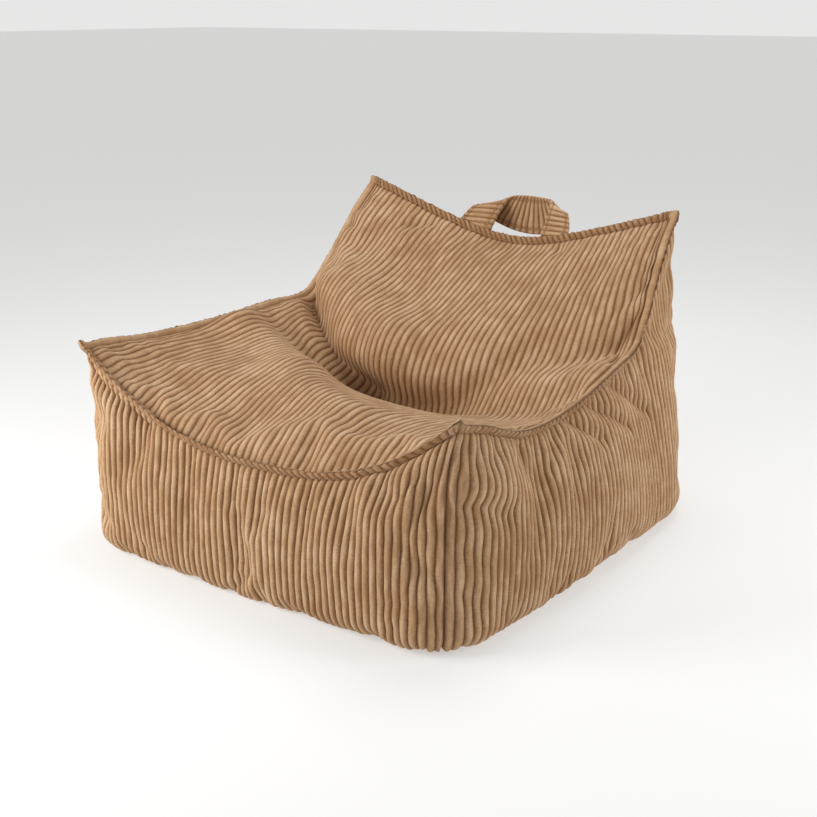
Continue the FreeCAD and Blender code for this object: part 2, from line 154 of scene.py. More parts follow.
def outerSeat(u, v):
    left, right = cubicLine(seams["left"], v), cubicLine(seams["right"], v)
    middle = cubicLine(seams["middle"], v)
    share = (u[..., None] + 1) / 2
    across = mix(left, right, share)
    drop = sagAcross(u, v)[..., None]
    centre = (left + right) / 2
    return across + (middle - centre) * drop * np.array([0.0, 1.0, 1.0])


def nearSeam(distance):
    # 1 at a seam, falling to 0 at a tenth of the panel away from it
    return np.clip(1 - distance / 0.10, 0, 1)[..., None] ** 1.5


# the step from the flange's edge down to its stitch line
def flangeStep(u, v):
    step = frontOut * nearSeam(v) + topOut * nearSeam(1 - v)
    step = step + sideOut(1.0, v) * nearSeam(1 - u) + sideOut(-1.0, v) * nearSeam(1 + u)
    return step * seam["flange"]


# the seat and backrest are one panel: u across from -1 to 1, v from the front seam to the top seam
def seatShape(u, v):
    return outerSeat(u, v) - flangeStep(u, v)


def cornerRun(share, width, first, last):
    # along a wall whose two corners are rounded, by equal lengths of cloth:
    # how far from its first corner, how far behind its line, and its turn there
    quarter = math.pi / 4
    s = share * (first * quarter + width - first - last + last * quarter)
    startTurn = np.clip(quarter - s / first, 0, quarter)
    middle = np.clip(s - first * quarter, 0, width - first - last)
    endTurn = np.clip((s - first * quarter - (width - first - last)) / last, 0, quarter)
    along = first * (1 - np.sin(startTurn)) + middle + last * np.sin(endTurn)
    behind = first * (1 - np.cos(startTurn)) + last * (1 - np.cos(endTurn))
    return along, behind, endTurn - startTurn


def bodyOutline(wall, p):
    # places and outward directions on the body's plan, p from 0 to 1 along that wall
    depth, width = plan["rear"] - plan["front"], 2 * plan["halfWidth"]
    side = {"right": 1.0, "left": -1.0}.get(wall)
    if side:
        along, behind, turn = cornerRun(p, depth, plan["frontCorner"], plan["rearCorner"])
        out = plan["sideBow"] * np.sin(np.pi * p) - behind
        place = np.stack([side * (plan["halfWidth"] + out), plan["front"] + along, 0 * p], -1)
        return place, np.stack([side * np.cos(turn), np.sin(turn), 0 * p], -1)
    rear = wall == "back"
    corner = plan["rearCorner" if rear else "frontCorner"]
    along, behind, turn = cornerRun(p, width, corner, corner)
    facing = 1.0 if rear else -1.0
    out = plan["rearBow" if rear else "frontBow"] * np.sin(np.pi * p) - behind
    place = np.stack([along - plan["halfWidth"], plan["rear" if rear else "front"] + facing * out, 0 * p], -1)
    return place, np.stack([np.sin(turn), facing * np.cos(turn), 0 * p], -1)


def wallShape(wall, p, w, head, rise, belly):
    # rolls out from under the body, climbs its plan and leans over to the seam
    body, outward = bodyOutline(wall, p)
    roll = walls["footRoll"]
    arc = roll * math.pi / 2
    climb = head[..., 2] - roll
    s = w * (arc + climb)
    angle = np.clip(s / roll, 0, math.pi / 2)
    z = roll * (1 - np.cos(angle)) + np.clip(s - arc, 0, None)
    t = np.clip(s - arc, 0, None) / climb
    flat = np.array([1.0, 1.0, 0.0])
    place = mix(body, head * flat, (t ** rise)[..., None])
    out = belly * np.sin(np.pi * t) * np.sin(np.pi * p) - roll * (1 - np.sin(angle))
    place = place + outward * out[..., None]
    place[..., 2] = z
    return place


def frontShape(p, w):
    head = seatShape(2 * p - 1, np.zeros_like(p))
    return wallShape("front", p, w, head, walls["frontRise"], walls["frontBelly"])


def backShape(p, w):
    head = seatShape(2 * p - 1, np.ones_like(p))
    return wallShape("back", p, w, head, walls["rearRise"], walls["backBelly"])


# the side walls' wales stand at even steps from front to rear, so p is read back to the seam's own v
seamWalk = np.linspace(0, 1, 401)
seamY = {side: seatShape(np.full_like(seamWalk, side), seamWalk)[:, 1] for side in (1.0, -1.0)}


def seamShare(side, v):
    y = np.interp(v, seamWalk, seamY[side])
    return (y - seamY[side][0]) / (seamY[side][-1] - seamY[side][0])


def seamPlace(side, p):
    return np.interp(p, seamShare(side, seamWalk), seamWalk)


def sideShape(side, p, w):
    head = seatShape(np.full_like(p, side), seamPlace(side, p))
    rise = mix(walls["frontRise"], walls["rearRise"], smooth(p * 1.3))
    return wallShape("right" if side > 0 else "left", p, w, head, rise, walls["sideBelly"])


def baseShape(p, v):
    # the cloth under the body, stretched between the four walls' feet
    foot = np.zeros_like(p)
    front, back = frontShape(p, foot), backShape(p, foot)
    left, right = sideShape(-1.0, seamShare(-1.0, v), foot), sideShape(1.0, seamShare(1.0, v), foot)
    first, last = np.zeros_like(p), np.ones_like(p)
    p, v = p[..., None], v[..., None]
    firstEdge = mix(frontShape(first, foot), backShape(first, foot), v)
    lastEdge = mix(frontShape(last, foot), backShape(last, foot), v)
    corners = mix(firstEdge, lastEdge, p)
    return mix(front, back, v) + mix(left, right, p) - corners


# folds pressed into the cloth, each along a line on its panel:
# points are places on the panel; width and height in metres, a negative height is a valley
folds = {
    "seat": [
        # the deep crease between seat and backrest, and the backrest's belly over it
        {"points": [(-0.99, 0.69), (-0.85, 0.665), (-0.70, 0.63), (-0.50, 0.56), (-0.22, 0.515)],
         "width": 0.018, "height": -0.032},
        {"points": [(-0.30, 0.525), (0.00, 0.49)], "width": 0.030, "height": -0.016},
        {"points": [(0.15, 0.50), (0.35, 0.58), (0.55, 0.67), (0.97, 0.70)],
         "width": 0.038, "height": -0.018},
        {"points": [(-0.74, 0.735), (-0.50, 0.685), (-0.22, 0.635)], "width": 0.060, "height": 0.030},
        {"points": [(-0.05, 0.65), (0.20, 0.71)], "width": 0.070, "height": 0.010},
        # the seat's soft crest in front of it
        {"points": [(-0.95, 0.45), (-0.75, 0.43), (-0.55, 0.38), (-0.32, 0.31)],
         "width": 0.060, "height": 0.034},
        {"points": [(-0.10, 0.23), (0.22, 0.17)], "width": 0.055, "height": 0.018},
        {"points": [(-0.75, 0.11), (-0.15, 0.10)], "width": 0.045, "height": -0.010},
        # a pinch under the top seam with a soft ridge below it
        {"points": [(-0.50, 0.975), (-0.56, 0.952), (-0.62, 0.93)], "width": 0.011, "height": -0.007},
        {"points": [(-0.60, 0.90), (-0.61, 0.84), (-0.58, 0.76)], "width": 0.028, "height": 0.007},
        # the seat's roll beside the right seam
        {"points": [(0.42, 0.47), (0.85, 0.56)], "width": 0.050, "height": 0.012},
        {"points": [(0.31, 0.995), (0.34, 0.96)], "width": 0.012, "height": -0.006},
        {"points": [(-0.90, 0.10), (-0.78, 0.20)], "width": 0.035, "height": -0.006},
    ],
    "front": [
        {"points": [(0.02, 0.93), (0.12, 0.955), (0.22, 0.97)], "width": 0.012, "height": -0.008},
        {"points": [(0.97, 0.78), (0.93, 0.62), (0.96, 0.45)], "width": 0.022, "height": -0.007},
    ],
    "right": [
        {"points": [(0.01, 0.70), (0.07, 0.685), (0.13, 0.655)], "width": 0.018, "height": -0.007},
        {"points": [(0.03, 0.80), (0.12, 0.77)], "width": 0.034, "height": 0.007},
        {"points": [(0.20, 0.90), (0.26, 0.78)], "width": 0.030, "height": -0.008},
        {"points": [(0.40, 0.97), (0.50, 0.78)], "width": 0.010, "height": -0.007},
        {"points": [(0.49, 0.97), (0.62, 0.74)], "width": 0.010, "height": -0.007},
        {"points": [(0.60, 0.97), (0.74, 0.70)], "width": 0.012, "height": -0.007},
    ],
    "left": [
        {"points": [(0.03, 0.72), (0.14, 0.68)], "width": 0.013, "height": -0.008},
        {"points": [(0.45, 0.97), (0.56, 0.76)], "width": 0.011, "height": -0.007},
        {"points": [(0.62, 0.97), (0.72, 0.72)], "width": 0.012, "height": -0.006},
    ],
    "back": [
        {"points": [(0.10, 0.93), (0.30, 0.86), (0.42, 0.90)], "width": 0.022, "height": -0.007},
        {"points": [(0.90, 0.90), (0.76, 0.80)], "width": 0.020, "height": -0.007},
    ],
}


foldSteps = 24  # straight pieces that stand for one fold's line


def foldHeight(place, shape, lines):
    # how far the folds lift or press each place, fading with its distance from their lines
    total = np.zeros(place.shape[:-1])
    for line in lines:
        stops = np.array(line["points"], float)
        t = np.linspace(0, len(stops) - 1, foldSteps)
        u = np.interp(t, np.arange(len(stops)), stops[:, 0])
        v = np.interp(t, np.arange(len(stops)), stops[:, 1])
        path = shape(u, v)
        near = np.full(place.shape[:-1], np.inf)
        for start, end in zip(path[:-1], path[1:]):
            run = end - start
            share = np.clip(((place - start) @ run) / max(run @ run, 1e-12), 0, 1)
            near = np.minimum(near, np.linalg.norm(place - start - share[..., None] * run, axis=-1))
        total += line["height"] * np.exp(-(near / line["width"]) ** 2)
    return total


def normalsOf(grid, sign=1):
    across = np.gradient(grid, axis=0)
    along = np.gradient(grid, axis=1)
    return unit(np.cross(across, along)) * sign


# every panel: its shape over (p, q) from 0 to 1, and the sign that turns its normal outwards
shapes = {
    "seat": (lambda p, q: seatShape(2 * p - 1, q), 1),
    "front": (frontShape, 1),
    "right": (lambda p, q: sideShape(1.0, p, q), 1),
    "left": (lambda p, q: sideShape(-1.0, p, q), -1),
    "back": (backShape, -1),
    "base": (baseShape, -1),
}


def foldedGrid(name, p, q):
    # the panel at every p and q, with its folds pressed in along its normals
    shape, sign = shapes[name]
    p, q = np.meshgrid(p, q, indexing="ij")
    grid = shape(p, q)
    lines = folds.get(name, [])
    if not lines:
        return grid
    lift = foldHeight(grid, seatShape if name == "seat" else shape, lines)
    rim = np.minimum(np.minimum(p, 1 - p), np.minimum(q, 1 - q))
    return grid + normalsOf(grid, sign) * (lift * smooth(rim / 0.035))[..., None]


# the stuffed cover settles in a cloth simulation
settle = {
    "frames": 22, "pressure": 1.6, "cap": 0.012, "spare": -0.035, "bending": 1.2, "seed": 7,
    "quality": 6, "mass": 0.25, "stretch": 20, "shear": 8, "gravity": 0.3, "weld": 0.0004,
}


def coarseParameters(name):
    across, along, up = (np.linspace(0, 1, gridSize[key]) for key in ("across", "along", "up"))
    if name in ("left", "right"):
        return seamShare(1.0 if name == "right" else -1.0, along), up
    return across, along if name in ("seat", "base") else up


def settledCover():
    # one welded bag of all the panels, held along its seams; returns each panel's movement
    names = list(shapes)
    grids = {name: foldedGrid(name, *coarseParameters(name)) for name in names}
    total = sum(grid.shape[0] * grid.shape[1] for grid in grids.values())
    tree, flat = KDTree(total), []
    for grid in grids.values():
        flat.extend(grid.reshape(-1, 3))
    for index, point in enumerate(flat):
        tree.insert(point, index)
    tree.balance()
    owner = [min(hit[1] for hit in tree.find_range(point, settle["weld"])) for point in flat]
    keep = sorted(set(owner))
    renumber = {index: i for i, index in enumerate(keep)}
    index, faces, held, first = {}, [], set(), 0
    for name in names:
        n, m = grids[name].shape[:2]
        ids = np.array([renumber[owner[first + k]] for k in range(n * m)]).reshape(n, m)
        first += n * m
        index[name] = ids
        for i in range(n - 1):
            for j in range(m - 1):
                face = [ids[i, j], ids[i + 1, j], ids[i + 1, j + 1], ids[i, j + 1]]
                faces.append([int(k) for k in (face if shapes[name][1] > 0 else face[::-1])])
        rim = ids if name == "base" else np.concatenate([ids[0], ids[-1], ids[:, 0], ids[:, -1]])
        held.update(rim.reshape(-1).tolist())
    points = np.array([flat[i] for i in keep])
    mesh = bpy.data.meshes.new("settlingBag")
    mesh.from_pydata(points.tolist(), [], faces)
    bag = bpy.data.objects.new("settlingBag", mesh)
    scene.collection.objects.link(bag)
    group = bag.vertex_groups.new(name="seams")
    group.add([int(i) for i in held], 1.0, "REPLACE")
    cloth = bag.modifiers.new("cloth", "CLOTH")
    cloth.settings.quality = settle["quality"]
    cloth.settings.mass = settle["mass"]
    cloth.settings.tension_stiffness = settle["stretch"]
    cloth.settings.compression_stiffness = settle["stretch"]
    cloth.settings.shear_stiffness = settle["shear"]
    cloth.settings.bending_stiffness = settle["bending"]
    cloth.settings.vertex_group_mass = "seams"
    cloth.settings.pin_stiffness = settle["stretch"]
    cloth.settings.use_pressure = True
    cloth.settings.uniform_pressure_force = settle["pressure"]
    cloth.settings.shrink_min = settle["spare"]
    cloth.settings.effector_weights.gravity = settle["gravity"]
    cloth.collision_settings.use_collision = False
    cloth.point_cache.frame_start = 1
    cloth.point_cache.frame_end = settle["frames"]
    for step in range(1, settle["frames"] + 1):
        scene.frame_set(step)
    bpy.context.view_layer.update()
    result = bag.evaluated_get(bpy.context.evaluated_depsgraph_get()).data
    moved = np.empty(len(points) * 3)
    result.vertices.foreach_get("co", moved)
    moved = moved.reshape(-1, 3) - points
    scene.frame_set(1)
    bpy.data.objects.remove(bag)
    size = np.linalg.norm(moved, axis=1, keepdims=True)
    moved = moved / (1 + size / settle["cap"])
    print("cover settled, furthest move %.1f mm" % (size.max() * 1000))
    return {name: moved[index[name]] for name in names}, (points + moved, faces)


def spread(values, knotsP, knotsQ, p, q):
    # the coarse grid's movement read at every fine place, smoothly both ways
    stopsP = [(k, values[i].reshape(-1)) for i, k in enumerate(knotsP)]
    rows = cubicLine(stopsP, p).reshape(len(p), len(knotsQ), 3)
    stopsQ = [(k, rows[:, j].reshape(-1)) for j, k in enumerate(knotsQ)]
    return cubicLine(stopsQ, q).reshape(len(q), len(p), 3).transpose(1, 0, 2)


moves, bag = settledCover()


# fine panels, with their wales, turned edges and an inner face
rng = np.random.default_rng(settle["seed"])


def waves(x, y, reach, count=7):
    # soft unevenness between -1 and 1, reach is its size in the units of x and y
    total = np.zeros(np.broadcast(x, y).shape)
    for _ in range(count):
        angle, phase = rng.uniform(0, 2 * np.pi, 2)
        pace = 2 * np.pi / reach * rng.uniform(0.6, 1.4)
        total += np.sin(pace * (x * math.cos(angle) + y * math.sin(angle)) + phase)
    return total / count * 1.4


def ridge(phase):
    return 1 - np.abs(2 * (phase % 1.0) - 1) ** 2.1


zipLine = {"y": 0.386211, "z": 0.060, "halfLength": 0.200, "lean": 0.3177, "halfGap": 0.0052, "lip": 0.0040}


def splitBack(full, fineQ, rows, upper):
    # the back is two pieces of cloth, drawn in to the zip and parted along it
    near = np.exp(-((full[..., 2] - zipLine["z"]) / 0.020) ** 2)
    near = near * smooth((zipLine["halfLength"] + 0.035 - np.abs(full[..., 0])) / 0.035)
    lipY = zipLine["y"] + (full[..., 2] - zipLine["z"]) * zipLine["lean"] - zipLine["lip"]
    full[..., 1] = mix(full[..., 1], np.minimum(full[..., 1], lipY), near)
    gap = zipLine["halfGap"] * smooth((zipLine["halfLength"] + 0.006 - np.abs(full[:, 0, 0])) / 0.008)
    edge = zipLine["z"] + (gap if upper else -gap)
    grid = np.empty((full.shape[0], rows, 3))
    for i, column in enumerate(full):
        split = np.interp(edge[i], column[:, 2], fineQ)
        q = np.linspace(split, 1, rows) if upper else np.linspace(0, split, rows)
        for axis in range(3):
            grid[i, :, axis] = np.interp(q, fineQ, column[:, axis])
    return grid


unevenness = {"sway": 0.0011, "fineSway": 0.0003, "swell": 0.16, "fineSwell": 0.06}


def finePanel(name, rows, flanged=(), part=None):
    # flanged names the edges with a turned flange: "low" and "high" rows, "first" and "last" columns
    sign = shapes[name][1]
    count = wale["deep"] if name in ("left", "right") else wale["across"]
    columns = count * wale["columns"] + 1
    p, q = np.linspace(0, 1, columns), np.linspace(0, 1, 301 if part else rows)
    grid = foldedGrid(name, p, q) + spread(moves[name], *coarseParameters(name), p, q)
    if part:
        grid = splitBack(grid, q, rows, part == "upper")
        q = np.linspace(0, 1, rows)
    normals = normalsOf(grid, sign)
    width = np.linalg.norm(np.diff(grid, axis=0), axis=-1).sum(0).mean()
    length = np.linalg.norm(np.diff(grid, axis=1), axis=-1).sum(1).mean()
    across, along = p[:, None] * width, q[None, :] * length
    rim = {"low": along, "high": length - along, "first": across, "last": width - across}
    lift = np.ones(grid.shape[:2])
    press = np.zeros(grid.shape[:2])
    for edge, distance in rim.items():
        if edge in flanged:
            press = np.maximum(press, np.exp(-(distance / 0.0032) ** 2) + 0 * lift)
        else:
            lift = lift * smooth(distance / 0.006)
    phase = np.tile(p[:, None] * count, (1, rows))
    crest = ridge(phase)
    sway = waves(across, along, 0.11) * unevenness["sway"]
    sway = sway + waves(across, along, 0.03) * unevenness["fineSway"]
    swell = 1 + unevenness["swell"] * waves(across, along, 0.05)
    swell = swell + unevenness["fineSwell"] * waves(across, along, 0.012)
    tall = wale["height"] * (wale["seatShare"] if name == "seat" else 1.0)
    height = crest * tall * swell * (1 - 0.55 * press) - press * seam["groove"]
    edgeGap = np.minimum(np.minimum(across, width - across), np.minimum(along, length - along))
    sideways = unit(np.gradient(grid, axis=0)) * (sway * smooth(edgeGap / 0.03))[..., None]
    surface = grid + sideways + normals * ((seam["ply"] + height) * lift)[..., None]
    surface[..., 2] = np.maximum(surface[..., 2], 0.0006)
    return {
        "name": name, "grid": grid, "surface": surface, "normals": normals, "height": height,
        # crest is lowered along the stitch lines, so they take painted shade
        "crest": crest * (1 - 0.6 * press), "p": p, "q": q, "flanged": flanged, "sign": sign,
        "uv": np.stack([phase, np.tile(along / wale["pitch"], (columns, 1))], -1),
    }


def flangeOut(panel, i, j):
    # the way the flange stands at one place on the panel's rim, shorter round a corner
    name, last = panel["name"], (len(panel["p"]) - 1, len(panel["q"]) - 1)
    q = panel["q"][j]
    ways = []
    if name == "seat":
        ways = [frontOut] * (j == 0) + [topOut] * (j == last[1])
        ways += [sideOut(1.0, q)] * (i == last[0]) + [sideOut(-1.0, q)] * (i == 0)
    elif "high" in panel["flanged"] and j == last[1]:
        if name in ("front", "back"):
            v = 0.0 if name == "front" else 1.0
            ways = [frontOut if name == "front" else topOut]
            ways += [sideOut(1.0, v)] * (i == last[0]) + [sideOut(-1.0, v)] * (i == 0)
        else:
            side = 1.0 if name == "right" else -1.0
            v = np.interp(panel["grid"][i, j, 1], seamY[side], seamWalk)
            ways = [sideOut(side, v)] + [frontOut] * (i == 0) + [topOut] * (i == last[0])
    return sum(ways, np.zeros(3)) * (seam["cornerReach"] if len(ways) > 1 else 1.0)


def rimLoop(n, m):
    loop = [(i, 0) for i in range(n)] + [(n - 1, j) for j in range(1, m)]
    loop += [(i, m - 1) for i in range(n - 2, -1, -1)] + [(0, j) for j in range(m - 2, 0, -1)]
    return loop


def gridQuads(ids):
    # the faces between neighbouring places of a grid of vertex numbers
    return np.stack([ids[:-1, :-1], ids[1:, :-1], ids[1:, 1:], ids[:-1, 1:]], -1).reshape(-1, 4)


def makePanel(name, panel, material):
    # the panel's face, then rings over its rim that stand up where it has a flange, then its inner face
    surface, crest, uv = panel["surface"], panel["crest"], panel["uv"]
    n, m = crest.shape
    loop = rimLoop(n, m)
    points, crests, uvs = [surface.reshape(-1, 3)], [crest.reshape(-1)], [uv.reshape(-1, 2)]
    ids = np.arange(n * m).reshape(n, m)
    quads = [gridQuads(ids)]
    rim = np.array([ids[i, j] for i, j in loop])
    place = surface.reshape(-1, 3)[rim]
    base = panel["grid"].reshape(-1, 3)[rim]
    out = np.array([flangeOut(panel, i, j) for i, j in loop])
    size = np.linalg.norm(out, axis=1, keepdims=True)
    stands = size[:, 0] > 1e-6
    normal = panel["normals"].reshape(-1, 3)[rim]
    ways = out / np.maximum(size, 1e-9)
    flat = unit(normal - (normal * ways).sum(1, keepdims=True) * ways)
    rings, previous, count = seam["rings"], rim, n * m
    height = panel["height"].reshape(-1)[rim] + seam["groove"]
    alongSide = np.array([panel["name"] == "seat" and j not in (0, m - 1) for i, j in loop])
    rimCrest = crest.reshape(-1)[rim]
    rimCrest = np.where(size[:, 0] > 1.01, 0.8, rimCrest)
    fuzz = 1 + 0.10 * waves(base[:, 0] + base[:, 2], base[:, 1], 0.010)
    # the ribs lean over along the seam, less and less towards its ends
    tangent = unit(np.roll(base, -1, axis=0) - np.roll(base, 1, axis=0))
    facing = np.where(np.abs(tangent[:, 0]) > np.abs(tangent[:, 1]), -tangent[:, 0], tangent[:, 1])
    tangent = tangent * np.sign(facing)[:, None]
    ends = base[[loop.index((0, m - 1)), loop.index((n - 1, m - 1))]]
    if panel["name"] == "seat":
        ends = np.concatenate([ends, base[[loop.index((0, 0)), loop.index((n - 1, 0))]]])
    nearEnd = np.linalg.norm(base[:, None] - ends[None], axis=-1).min(1)
    lean = tangent * (seam["lean"] * smooth(nearEnd / 0.05))[:, None]
    for ring in range(1, rings + 3):
        turn = min(ring, rings) / rings * math.pi / 2
        share, closing = math.sin(turn), math.sqrt(max(math.cos(turn), 0.0))
        bump = np.where(alongSide, ridge(0.1 + 0.9 * share), rimCrest * 1.7) * wale["height"]
        thick = (seam["ply"] * 1.1 + bump * smooth(share * 2)) * closing
        reach = seam["flange"] * share * fuzz + bump * 0.45 * smooth((share - 0.5) * 2)
        if ring > rings:
            thick = thick * 0 + 0.0003
            reach = reach * (1 if ring == rings + 1 else 0.15)
        target = base + out * reach[:, None] + flat * thick[:, None] + lean * min(share, 1) ** 1.5
        target = target + (place - base - flat * (seam["ply"] * 1.1)) * (1 - smooth(share * 2.5))
        newPlace = np.where(stands[:, None], target, place)
        ringIds = count + np.arange(len(rim))
        count += len(rim)
        points.append(newPlace)
        # where the wales end at a flange, its colour takes their crest value raised by half, a painted
        # highlight along its edge; the tucked rings take 0, the painted shade of a groove
        ringCrest = np.where(alongSide, ridge(0.1 + 0.9 * share), rimCrest * 1.5)
        crests.append(ringCrest * (1 if ring <= rings else 0))
        uvs.append(uv.reshape(-1, 2)[rim] + np.array([0.0, 0.9 * share]))
        after = np.roll(ringIds, -1)
        quads.append(np.stack([previous, ringIds, after, np.roll(previous, -1)], -1))
        previous = ringIds
    # the inner face, a coarse sheet a little inside, joined to the last ring
    inner = coarseInside(panel, 57, 121 if panel["name"] == "seat" else 41)
    a, b = inner.shape[:2]
    innerIds = count + np.arange(a * b).reshape(a, b)
    points.append(inner.reshape(-1, 3))
    crests.append(np.zeros(a * b))
    uvs.append(np.zeros((a * b, 2)))
    quads.append(gridQuads(innerIds)[:, ::-1])
    innerRim = [innerIds[round(i / (n - 1) * (a - 1)), round(j / (m - 1) * (b - 1))] for i, j in loop]
    points, crests, uvs = np.concatenate(points), np.concatenate(crests), np.concatenate(uvs)
    faces = np.concatenate(quads).tolist()
    for k in range(len(loop)):
        k2 = (k + 1) % len(loop)
        if innerRim[k] == innerRim[k2]:
            faces.append([int(previous[k]), int(innerRim[k]), int(previous[k2])])
        else:
            faces.append([int(previous[k]), int(innerRim[k]), int(innerRim[k2]), int(previous[k2])])
    if panel["sign"] < 0:
        faces = [face[::-1] for face in faces]
    mesh = bpy.data.meshes.new(name)
    mesh.from_pydata(points.tolist(), [], faces)
    layer = mesh.attributes.new("crest", "FLOAT", "POINT")
    layer.data.foreach_set("value", crests.astype(np.float32))
    uvMap = mesh.uv_layers.new(name="cloth")
    corner = np.empty(len(mesh.loops), int)
    mesh.loops.foreach_get("vertex_index", corner)
    uvMap.data.foreach_set("uv", uvs[corner].astype(np.float32).reshape(-1))
    work = bmesh.new()
    work.from_mesh(mesh)
    bmesh.ops.remove_doubles(work, verts=work.verts, dist=2e-6)
    bmesh.ops.dissolve_degenerate(work, edges=work.edges, dist=1e-7)
    work.to_mesh(mesh)
    work.free()
    mesh.polygons.foreach_set("use_smooth", [True] * len(mesh.polygons))
    mesh.materials.append(material)
    piece = bpy.data.objects.new(name, mesh)
    scene.collection.objects.link(piece)
    print("%s: %d faces" % (name, len(mesh.polygons)))
    return piece


def coarseInside(panel, a, b):
    rows = np.linspace(0, len(panel["p"]) - 1, a).round().astype(int)
    columns = np.linspace(0, len(panel["q"]) - 1, b).round().astype(int)
    rows[0], rows[-1] = 5, len(panel["p"]) - 6
    columns[0], columns[-1] = 1, len(panel["q"]) - 2
    grid = panel["grid"][np.ix_(rows, columns)] - panel["normals"][np.ix_(rows, columns)] * 0.003
    grid[..., 2] = np.maximum(grid[..., 2], 0.0030)
    return grid


# materials
class Value:
    # a socket that adds Math nodes for the operators used on it
    def __init__(self, shader, socket):
        self.shader, self.socket = shader, socket

    def math(self, operation, a, b):
        node = self.shader.add("ShaderNodeMath", {"operation": operation}, {0: a, 1: b})
        return Value(self.shader, node.outputs[0])

    def __add__(self, other):
        return self.math("ADD", self, other)

    def __sub__(self, other):
        return self.math("SUBTRACT", self, other)

    def __rsub__(self, other):
        return self.math("SUBTRACT", other, self)

    def __mul__(self, other):
        return self.math("MULTIPLY", self, other)


class Shader:
    def __init__(self, name, **fixed):
        self.material = bpy.data.materials.new(name)
        self.material.use_nodes = True
        self.tree = self.material.node_tree
        self.surface = self.tree.nodes["Principled BSDF"]
        for key, value in fixed.items():
            self.surface.inputs[key.replace("_", " ")].default_value = value

    def add(self, kind, settings=None, inputs=None):
        node = self.tree.nodes.new(kind)
        for key, value in (settings or {}).items():
            if key == "stops":
                ramp = node.color_ramp
                for spot, colour in zip((ramp.elements[0], ramp.elements[1]), (value[0], value[-1])):
                    spot.position, spot.color = colour[0], colour[1]
                for position, colour in value[1:-1]:
                    ramp.elements.new(position).color = colour
            else:
                setattr(node, key, value)
        for key, value in (inputs or {}).items():
            if isinstance(value, Value):
                self.tree.links.new(value.socket, node.inputs[key])
            elif isinstance(value, bpy.types.NodeSocket):
                self.tree.links.new(value, node.inputs[key])
            else:
                node.inputs[key].default_value = value
        return node

    def value(self, socket):
        return Value(self, socket)

    def feed(self, key, value):
        self.tree.links.new(value.socket if isinstance(value, Value) else value, self.surface.inputs[key])

    def blendColours(self, factor, first, second):
        node = self.add("ShaderNodeMix", {"data_type": "RGBA"}, {0: factor, 6: first, 7: second})
        return node.outputs[2]

    def noise(self, vector, scale, detail=2.0, roughness=0.5):
        node = self.add("ShaderNodeTexNoise", {}, {"Vector": vector, "Scale": scale, "Detail": detail,
                                                   "Roughness": roughness})
        return self.value(node.outputs["Fac"])

    def scaled(self, vector, factors):
        return self.add("ShaderNodeVectorMath", {"operation": "MULTIPLY"}, {0: vector, 1: factors}).outputs[0]

    def bump(self, height, strength, distance):
        node = self.add("ShaderNodeBump", {}, {"Height": height, "Strength": strength, "Distance": distance})
        self.feed("Normal", node.outputs[0])


# the pile's tones: groove is painted shade in the grooves between wales, crest a painted highlight on the
# wale tops, flank between them; the last two are lit and shaded copies of the pile colour
corduroyLook = {
    "crest": (0.47, 0.285, 0.152, 1), "flank": (0.325, 0.172, 0.080, 1), "groove": (0.135, 0.058, 0.024, 1),
    "litNap": (0.66, 0.475, 0.305, 1), "shadedNap": (0.255, 0.130, 0.058, 1),
}


def corduroyMaterial():
    shader = Shader("corduroyPile", Roughness=0.92, Sheen_Weight=0.25, Sheen_Roughness=0.45,
                    Specular_IOR_Level=0.12, Sheen_Tint=(1.0, 0.84, 0.64, 1))
    crest = shader.value(shader.add("ShaderNodeAttribute", {"attribute_name": "crest"}).outputs["Fac"])
    cloth = shader.add("ShaderNodeUVMap", {"uv_map": "cloth"}).outputs[0]
    place = shader.add("ShaderNodeTexCoord").outputs["Object"]
    tufts = shader.noise(shader.scaled(cloth, (3.0, 5.0, 1)), 1.0, 3.0, 0.65)
    nap = shader.noise(shader.scaled(cloth, (0.9, 0.30, 1)), 1.0, 4.0, 0.65)
    broad = shader.noise(place, 9.0, 3.0, 0.55)
    fibre = shader.noise(place, 900.0, 2.0, 0.6)
    speck = shader.noise(shader.scaled(cloth, (9.0, 14.0, 1)), 1.0, 2.0, 0.7)
    # the crest attribute picks the tone: painted shade in the grooves, a painted highlight on the crests
    stops = [(0.0, corduroyLook["groove"]), (0.50, corduroyLook["flank"]), (1.0, corduroyLook["crest"])]
    height = crest + (tufts - 0.5) * 0.5 + (speck - 0.5) * 0.9
    tone = shader.add("ShaderNodeValToRGB", {"stops": stops}, {"Fac": height})
    # lit and shaded copies of the pile colour, laid in patches by the nap noise: a painted highlight on the
    # crests where the noise is high, painted shade where it is low
    napLightMask = nap * 0.55 + broad * 0.25 + tufts * 0.2
    light = shader.add("ShaderNodeMapRange", {}, {0: napLightMask, 1: 0.47, 2: 0.64, 3: 0.0, 4: 0.75})
    shadeAndWear = broad * 0.4 + nap * 0.6
    dark = shader.add("ShaderNodeMapRange", {}, {0: shadeAndWear, 1: 0.48, 2: 0.32, 3: 0.0, 4: 0.55})
    onCrests = shader.value(light.outputs[0]) * crest
    pale = shader.blendColours(onCrests, tone.outputs[0], corduroyLook["litNap"])
    colour = shader.blendColours(shader.value(dark.outputs[0]), pale, corduroyLook["shadedNap"])
    shader.feed("Base Color", colour)
    shader.bump(fibre * 0.5 + tufts * 1.0, 0.8, 0.0012)
    return shader.material


